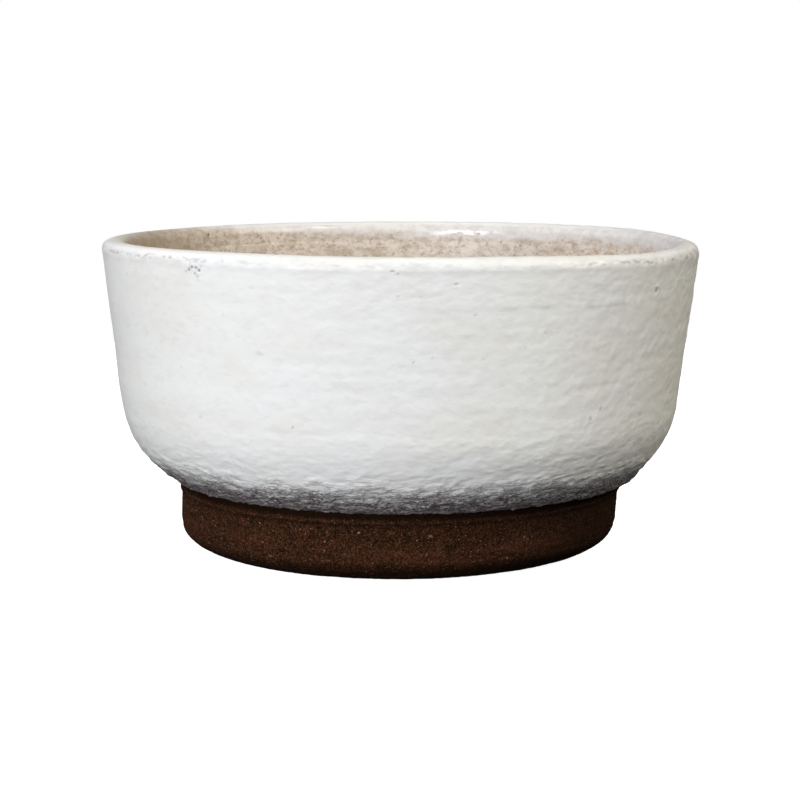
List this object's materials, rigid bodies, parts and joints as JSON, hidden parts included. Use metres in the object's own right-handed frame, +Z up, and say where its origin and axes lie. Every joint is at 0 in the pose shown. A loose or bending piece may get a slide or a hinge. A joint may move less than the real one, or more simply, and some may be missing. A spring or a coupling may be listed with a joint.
{
  "type": "bonsai pot",
  "caption": "Round footed bonsai pot: deep white-glazed stoneware bowl on a bare brown foot ring, with drainage screens held by bent wire clips.",
  "frame": {"origin": "centre of the pot on the plane it stands on", "axes": "+Z up along the pot's turning axis; the seen front faces -Y, with +X to its right"},
  "size_m": [0.26, 0.26, 0.136],
  "materials": {
    "stoneware": "dark chamotte stoneware, unglazed, matt and gritty",
    "foot_clay": "bare chocolate-brown chamotte clay with fine pale grog, matt",
    "white_glaze": "thick satin-matt white glaze, dragged and crawled into grey-brown ridges near the foot",
    "liner_glaze": "thin mottled tan glaze over brown clay, fairly glossy",
    "screen_plastic": "black moulded plastic mesh",
    "clip_wire": "soft anodised aluminium wire, satin"
  },
  "bodies": {
    "root": {"bowl_body": "stoneware", "foot_ring": "foot_clay", "outer_glaze": "white_glaze", "inner_glaze": "liner_glaze", "drain_mesh_1": "screen_plastic", "drain_mesh_2": "screen_plastic", "drain_mesh_3": "screen_plastic", "mesh_clip_1": "clip_wire", "mesh_clip_2": "clip_wire", "mesh_clip_3": "clip_wire"}
  },
  "joints": []
}
